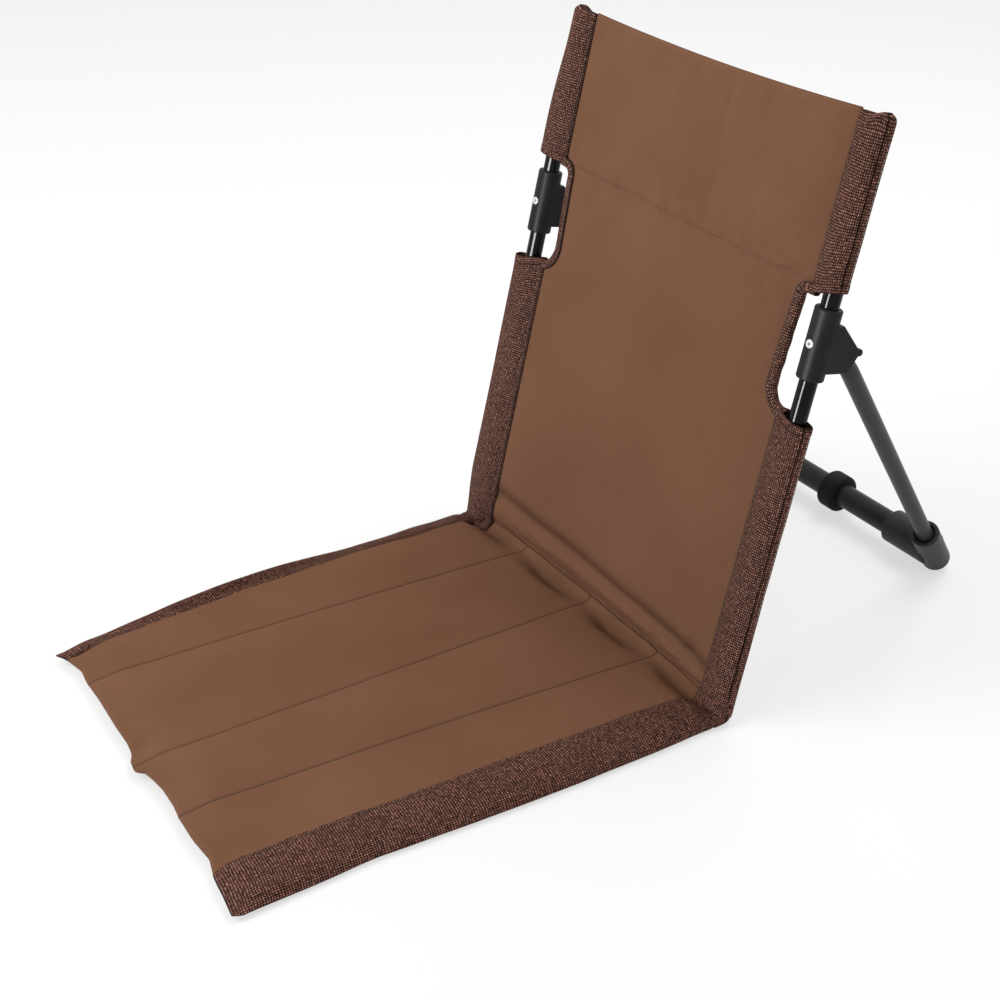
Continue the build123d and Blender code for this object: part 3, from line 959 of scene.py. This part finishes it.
def border_stitch_path(sign, seed):
    share = np.linspace(*BORDER_THREAD_SHARES, 110)
    rear = fold_y + BORDER_REAR
    y = rear + (seat_front + front_inset(sign * 173.0) - rear) * share
    lift = (1 - BORDER_LIFT_LOST) * border_lift(sign, share)
    wave = BORDER_WAVE * ripples(y, 7.0, BORDER_WAVE_SIZE, seed)
    z = BORDER_THREAD_Z + lift + wave - FRONT_DIP * rise(share, NOSE_START, 1.0)
    return np.stack([seat_x(sign * BORDER_THREAD_X, share), y, z], axis=-1)


def sleeve_path(sign, low, high, x, q):
    return back_points(sign * x, np.linspace(low, high, 100), q)


def bind_stitch_path(sign):
    path = np.array([point + BIND_THREAD_IN * inward for point, inward in bind_path(sign)])
    return back_points(sign * path[:, 0], path[:, 1], BIND_THREAD_Q)


# Materials

def new_material(name):
    material = bpy.data.materials.new(name)
    material.use_nodes = True
    tree = material.node_tree
    return material, tree, tree.nodes["Principled BSDF"]


def feed(node, inputs):
    """Fills a node's inputs: another node's output is linked, and any other value is set."""
    for key, value in inputs.items():
        if isinstance(value, bpy.types.NodeSocket):
            node.id_data.links.new(value, node.inputs[key])
        else:
            node.inputs[key].default_value = value


def add(tree, kind, inputs=None, **settings):
    node = tree.nodes.new(kind)
    for key, value in settings.items():
        setattr(node, key, value)
    feed(node, inputs or {})
    return node


def maths(tree, operation, *values):
    return add(tree, "ShaderNodeMath", dict(enumerate(values)), operation=operation).outputs[0]


def noise_node(tree, vector, scale, detail):
    return add(tree, "ShaderNodeTexNoise", {"Vector": vector, "Scale": scale, "Detail": detail}).outputs[0]


def object_place(tree):
    return add(tree, "ShaderNodeTexCoord").outputs["Object"]


def ramp(tree, factor, stops):
    node = add(tree, "ShaderNodeValToRGB", {0: factor})
    bar = node.color_ramp
    while len(bar.elements) < len(stops):
        bar.elements.new(0.5)
    for element, (place, colour) in zip(bar.elements, stops):
        element.position = place
        element.color = (*colour, 1.0)
    return node.outputs[0]


def tinted(tree, colour, factor, stops):
    """The colour times a ramp of tones."""
    inputs = {0: 1.0, 6: colour, 7: ramp(tree, factor, stops)}
    return add(tree, "ShaderNodeMix", inputs, data_type="RGBA", blend_type="MULTIPLY").outputs[2]


def grey(tone):
    return (tone, tone, tone)


def scaled(tree, value, low, high):
    return add(tree, "ShaderNodeMapRange", {0: value, 3: low, 4: high}).outputs[0]


def bump(tree, height, strength, distance):
    return add(tree, "ShaderNodeBump", {"Strength": strength, "Distance": distance, "Height": height}).outputs[0]


def plain_weave(tree, across_pitch, along_pitch, wander):
    """Height of a plain weave, 0 in the gaps and 1 on top of a yarn, from the cloth's own measure.

    Also gives that measure, and a chance value for each crossing of two yarns.
    """
    cloth = add(tree, "ShaderNodeAttribute", attribute_name="weave").outputs["Vector"]
    spread = add(tree, "ShaderNodeSeparateXYZ", {0: cloth})
    stray = noise_node(tree, cloth, 0.3 / along_pitch, 2.0)
    stray = scaled(tree, stray, -wander, wander)
    across = maths(tree, "ADD", maths(tree, "DIVIDE", spread.outputs[0], across_pitch), stray)
    along = maths(tree, "ADD", maths(tree, "DIVIDE", spread.outputs[1], along_pitch), stray)
    warp = maths(tree, "ABSOLUTE", maths(tree, "SINE", maths(tree, "MULTIPLY", across, math.pi)))
    weft = maths(tree, "ABSOLUTE", maths(tree, "SINE", maths(tree, "MULTIPLY", along, math.pi)))
    column = maths(tree, "FLOOR", across)
    row = maths(tree, "FLOOR", along)
    cell = maths(tree, "ADD", column, row)
    over = maths(tree, "ABSOLUTE", maths(tree, "MODULO", cell, 2.0))
    warp_top = maths(tree, "MULTIPLY", warp, maths(tree, "MULTIPLY_ADD", weft, 0.7, 0.3))
    weft_top = maths(tree, "MULTIPLY", weft, maths(tree, "MULTIPLY_ADD", warp, 0.7, 0.3))
    pick = add(tree, "ShaderNodeMix", {0: over, 2: warp_top, 3: weft_top}, data_type="FLOAT")
    crossing = add(tree, "ShaderNodeCombineXYZ", {0: column, 1: row}).outputs[0]
    speck = add(tree, "ShaderNodeTexWhiteNoise", {"Vector": crossing}, noise_dimensions="2D")
    return pick.outputs[0], cloth, speck.outputs["Value"]


def darken_seams_and_painted_shade(tree, colour, depth):
    """The colour darkened where the mesh marks it: along seams and stitch lines, and with painted shade along the
    fold's crease, in the pockets beside it and on the groove above it.
    """
    mark = add(tree, "ShaderNodeAttribute", attribute_name="seams_and_painted_shade").outputs["Fac"]
    return tinted(tree, colour, mark, ((0.0, grey(1.0)), (1.0, grey(depth))))


def cover_cloth():
    material, tree, shader = new_material("brown_cover_cloth")
    height, cloth, _ = plain_weave(tree, 0.0006, 0.0006, 0.1)
    broad = noise_node(tree, object_place(tree), 9.0, 3.0)
    yarn = noise_node(tree, cloth, 900.0, 2.0)
    base = ramp(tree, broad, ((0.3, (0.195, 0.0928, 0.0508)), (0.7, (0.228, 0.1117, 0.0638))))
    woven = ((0.0, (0.62, 0.58, 0.56)), (0.55, grey(1.0)), (1.0, (1.14, 1.12, 1.1)))
    colour = tinted(tree, base, height, woven)
    colour = tinted(tree, colour, yarn, ((0.3, grey(0.9)), (0.7, grey(1.08))))
    feed(shader, {
        # Darkened along the marked seams and stitch lines, and with painted shade in the fold
        "Base Color": darken_seams_and_painted_shade(tree, colour, 0.45),
        "Roughness": scaled(tree, height, 0.86, 0.66),
        "Specular IOR Level": 0.04,
        "Sheen Weight": 0.06,
        "Sheen Roughness": 0.5,
        "Sheen Tint": (0.75, 0.5, 0.36, 1.0),
        "Normal": bump(tree, height, 0.35, 0.00025),
    })
    return material


def border_cloth():
    material, tree, shader = new_material("dark_border_webbing")
    height, cloth, speck = plain_weave(tree, 0.0019, 0.0023, 0.5)
    yarn = noise_node(tree, cloth, 420.0, 2.0)
    broad = noise_node(tree, object_place(tree), 16.0, 2.0)
    base = ramp(tree, height, (
        (0.0, (0.0095, 0.0035, 0.0027)),
        (0.35, (0.0507, 0.02, 0.0124)),
        (0.7, (0.138, 0.0614, 0.0417)),
        (1.0, (0.364, 0.195, 0.1466)),
    ))
    colour = tinted(tree, base, yarn, ((0.3, (0.45, 0.43, 0.43)), (0.7, (1.75, 1.7, 1.7))))
    colour = tinted(tree, colour, speck, ((0.0, grey(0.58)), (1.0, grey(1.42))))
    colour = tinted(tree, colour, broad, ((0.3, grey(0.9)), (0.7, grey(1.08))))
    feed(shader, {
        "Base Color": darken_seams_and_painted_shade(tree, colour, 0.2),
        "Roughness": scaled(tree, height, 0.9, 0.55),
        "Specular IOR Level": 0.06,
        "Normal": bump(tree, height, 0.8, 0.0006),
    })
    return material


def thread_material(name, dark, light):
    material, tree, shader = new_material(name)
    inputs = {"Vector": object_place(tree), "Scale": 900.0}
    twist = add(tree, "ShaderNodeTexWave", inputs, bands_direction="DIAGONAL").outputs["Fac"]
    colour = ramp(tree, twist, ((0.0, dark), (1.0, light)))
    feed(shader, {"Base Color": colour, "Roughness": 0.6, "Normal": bump(tree, twist, 0.4, 0.0001)})
    return material


def finish_material(name, dark, light, rough, grain, depth, metallic=0.0, level=0.5):
    """Painted, moulded or metal finish: two close tones, cloudy roughness and a fine surface grain."""
    material, tree, shader = new_material(name)
    place = object_place(tree)
    cloud = noise_node(tree, place, 30.0, 4.0)
    fine = noise_node(tree, place, grain, 2.0)
    feed(shader, {
        "Base Color": ramp(tree, cloud, ((0.3, dark), (0.7, light))),
        "Roughness": scaled(tree, cloud, *rough),
        "Metallic": metallic,
        "Specular IOR Level": level,
        "Normal": bump(tree, fine, 0.3, depth),
    })
    return material


def dress(material, *names):
    for name in names:
        for piece in (frame["nodes"].get(name), bpy.data.objects.get(name)):
            if piece is not None:
                piece.data.materials.clear()
                piece.data.materials.append(material)


# Floor, light and camera

WHITE = (1.0, 1.0, 1.0, 1.0)
FLOOR_HALF = 8.0
FLOOR_GLOW = 0.6
AMBIENT = 0.55
CAMERA_PLACE = (1025.9, -731.8, 912.5)
CAMERA_TARGET = (-44.9, -25.9, 176.1)
FOCAL_PIXELS = 1589.0
CENTRE_PIXELS = (493.9, 459.1)
IMAGE_PIXELS = 1000.0
SENSOR = 36.0


def make_floor():
    mesh = bpy.data.meshes.new("floor")
    corners = [(x * FLOOR_HALF, y * FLOOR_HALF, 0) for x, y in ((-1, -1), (1, -1), (1, 1), (-1, 1))]
    mesh.from_pydata(corners, [], [(0, 1, 2, 3)])
    floor = bpy.data.objects.new("floor", mesh)
    bpy.context.scene.collection.objects.link(floor)
    material = bpy.data.materials.new("pale_floor")
    material.use_nodes = True
    tree = material.node_tree
    tree.nodes.clear()
    diffuse = add(tree, "ShaderNodeBsdfDiffuse", {0: WHITE}).outputs[0]
    glow = add(tree, "ShaderNodeEmission", {0: WHITE}).outputs[0]
    share = maths(tree, "MULTIPLY", seen_rays(tree), FLOOR_GLOW)
    seen = add(tree, "ShaderNodeMixShader", {0: share, 1: diffuse, 2: glow}).outputs[0]
    add(tree, "ShaderNodeOutputMaterial", {0: seen})
    floor.data.materials.append(material)


def seen_rays(tree):
    """1 for rays that show the background: straight from the camera, mirrored or seen through."""
    rays = add(tree, "ShaderNodeLightPath").outputs
    through = maths(tree, "MAXIMUM", rays["Is Glossy Ray"], rays["Is Transmission Ray"])
    return maths(tree, "MAXIMUM", rays["Is Camera Ray"], through)


def make_world():
    world = bpy.data.worlds.new("studio")
    bpy.context.scene.world = world
    world.use_nodes = True
    tree = world.node_tree
    strength = maths(tree, "MAXIMUM", seen_rays(tree), AMBIENT)
    feed(tree.nodes["Background"], {0: WHITE, 1: strength})


def aim(name, data, place, target):
    """Puts a lamp or camera at a place, turned to a target."""
    holder = bpy.data.objects.new(name, data)
    holder.location = place
    holder.rotation_mode = "QUATERNION"
    holder.rotation_quaternion = (Vector(target) - Vector(place)).to_track_quat("-Z", "Y")
    bpy.context.scene.collection.objects.link(holder)
    return holder


def make_lamp(name, place, target, size, power, diffuse=True):
    """A rectangular lamp. With diffuse off it shows only in gloss."""
    lamp = bpy.data.lights.new(name, "AREA")
    lamp.shape = "RECTANGLE"
    lamp.size, lamp.size_y = size
    lamp.energy = power
    aim(name, lamp, place, target).visible_diffuse = diffuse


def make_camera():
    lens = bpy.data.cameras.new("photo_camera")
    lens.sensor_width = SENSOR
    lens.lens = FOCAL_PIXELS / IMAGE_PIXELS * SENSOR
    lens.shift_x = 0.5 - CENTRE_PIXELS[0] / IMAGE_PIXELS
    lens.shift_y = CENTRE_PIXELS[1] / IMAGE_PIXELS - 0.5
    place = Vector(CAMERA_PLACE) * MM
    target = Vector(CAMERA_TARGET) * MM
    bpy.context.scene.camera = aim("photo_camera", lens, place, target)


def pairs(name, *others):
    return [name + "_left", name + "_right", *others]


cover = cover_cloth()
webbing = border_cloth()
make_seat_pad()
make_back_pad()
dress(cover, "seat_pad", "back_pad")
for side, sign in (("right", 1.0), ("left", -1.0)):
    make_seat_border(side, sign, 11.0 + sign)
    make_sleeve("lower", side, sign, NOTCH_LOW, LOWER_CLOSED, 17.0 + sign)
    make_sleeve("upper", side, sign, NOTCH_HIGH, UPPER_CLOSED, 23.0 + sign)
    make_binding(side, sign)
    make_fold("fold_corner_" + side, corner_loop, sign * CORNER_INNER, sign * CORNER_END, 22)
    dress(webbing, "seat_border_" + side + "_webbing", "sleeve_lower_" + side + "_webbing")
    dress(webbing, "sleeve_upper_" + side + "_webbing", "notch_binding_" + side + "_tape", "fold_corner_" + side)
make_fold("fold_web", fold_loop, -WEB_HALF, WEB_HALF, 74)
dress(cover, "fold_web")

make_threads("seat_stitching", seat_stitch_paths(), "seat")
border_seams = [border_stitch_path(1.0, 12.0), border_stitch_path(-1.0, 10.0)]
make_threads("seat_border_stitching", border_seams, "seat")
make_threads("back_stitching", [back_stitch_path()], "backrest")
back_seams = []
sleeve_seams = []
for sign in (1.0, -1.0):
    back_seams += [sleeve_path(sign, *row, SLEEVE_THREAD_X, SLEEVE_THREAD_Q) for row in SEAM_ROWS]
    back_seams.append(bind_stitch_path(sign))
    sleeve_seams += [sleeve_path(sign, *row, EDGE_THREAD_Q) for row in EDGE_ROWS]
make_threads("back_seam_stitching", back_seams, "backrest")
make_threads("sleeve_edge_stitching", sleeve_seams, "backrest")
dress(thread_material("brown_thread", (0.05, 0.022, 0.012), (0.1, 0.046, 0.026)), "seat_stitching")
dress(thread_material("pale_thread", (0.1, 0.044, 0.023), (0.16, 0.074, 0.04)), "back_stitching")
dark_thread = thread_material("dark_thread", (0.03, 0.014, 0.01), (0.07, 0.035, 0.026))
dress(dark_thread, "seat_border_stitching", "back_seam_stitching")
dress(thread_material("light_thread", (0.2, 0.14, 0.11), (0.38, 0.29, 0.24)), "sleeve_edge_stitching")

PAINT_GRAIN = (900.0, 0.00006)
PLASTIC_GRAIN = (1400.0, 0.00008)
# Name, dark and light tone, least and most roughness, scale and depth of the grain, specular level, nodes
FINISHES = (
    ("black_pole_paint", (0.003, 0.003, 0.0035), (0.006, 0.006, 0.007), (0.05, 0.1), (260.0, 0.00002), 0.12,
     pairs("back_pole")),
    ("grey_leg_paint", (0.036, 0.0355, 0.0385), (0.046, 0.0455, 0.049), (0.28, 0.4), PAINT_GRAIN, 0.09,
     pairs("leg_tube")),
    ("dark_tube_paint", (0.023, 0.0232, 0.0245), (0.031, 0.0313, 0.033), (0.26, 0.36), PAINT_GRAIN, 0.12,
     pairs("cross_tube", "cross_tube_joint")),
    ("dark_moulding", (0.017, 0.017, 0.019), (0.026, 0.026, 0.029), (0.36, 0.46), PLASTIC_GRAIN, 0.06,
     pairs("tee_bracket")),
    ("foot_moulding", (0.036, 0.0355, 0.038), (0.047, 0.0465, 0.049), (0.34, 0.44), PLASTIC_GRAIN, 0.12,
     pairs("foot_elbow")),
    ("black_plastic", (0.008, 0.008, 0.009), (0.014, 0.014, 0.015), (0.4, 0.55), PLASTIC_GRAIN, 0.12,
     pairs("pole_top_plug") + pairs("pole_bottom_plug") + pairs("leg_top_plug") + pairs("elbow_bush")),
    ("collar_rubber", (0.008, 0.008, 0.008), (0.016, 0.016, 0.017), (0.55, 0.7), (1100.0, 0.0001), 0.1,
     ["tube_collar"]),
)
for name, dark, light, rough, grain, level, nodes in FINISHES:
    dress(finish_material(name, dark, light, rough, *grain, level=level), *nodes)
steel_tones = ((0.72, 0.71, 0.7), (0.86, 0.85, 0.84))
steel = finish_material("rivet_steel", *steel_tones, (0.2, 0.34), 700.0, 0.00005, metallic=0.35)
dress(steel, *pairs("bracket_rivet"), *pairs("pivot_pin"), *pairs("pivot_washers"))

make_floor()
make_world()
make_lamp("key", (-0.9, -1.9, 1.9), (0.0, 0.0, 0.2), (1.6, 1.2), 34.0)
make_lamp("strip", (0.2, -1.6, 0.3), (0.2, 0.0, 0.3), (0.7, 0.55), 66.0, diffuse=False)
make_lamp("top", (-0.3, 1.2, 2.2), (0.0, 0.0, 0.1), (1.2, 1.2), 20.0)
make_camera()
bpy.context.scene.view_settings.view_transform = "Standard"
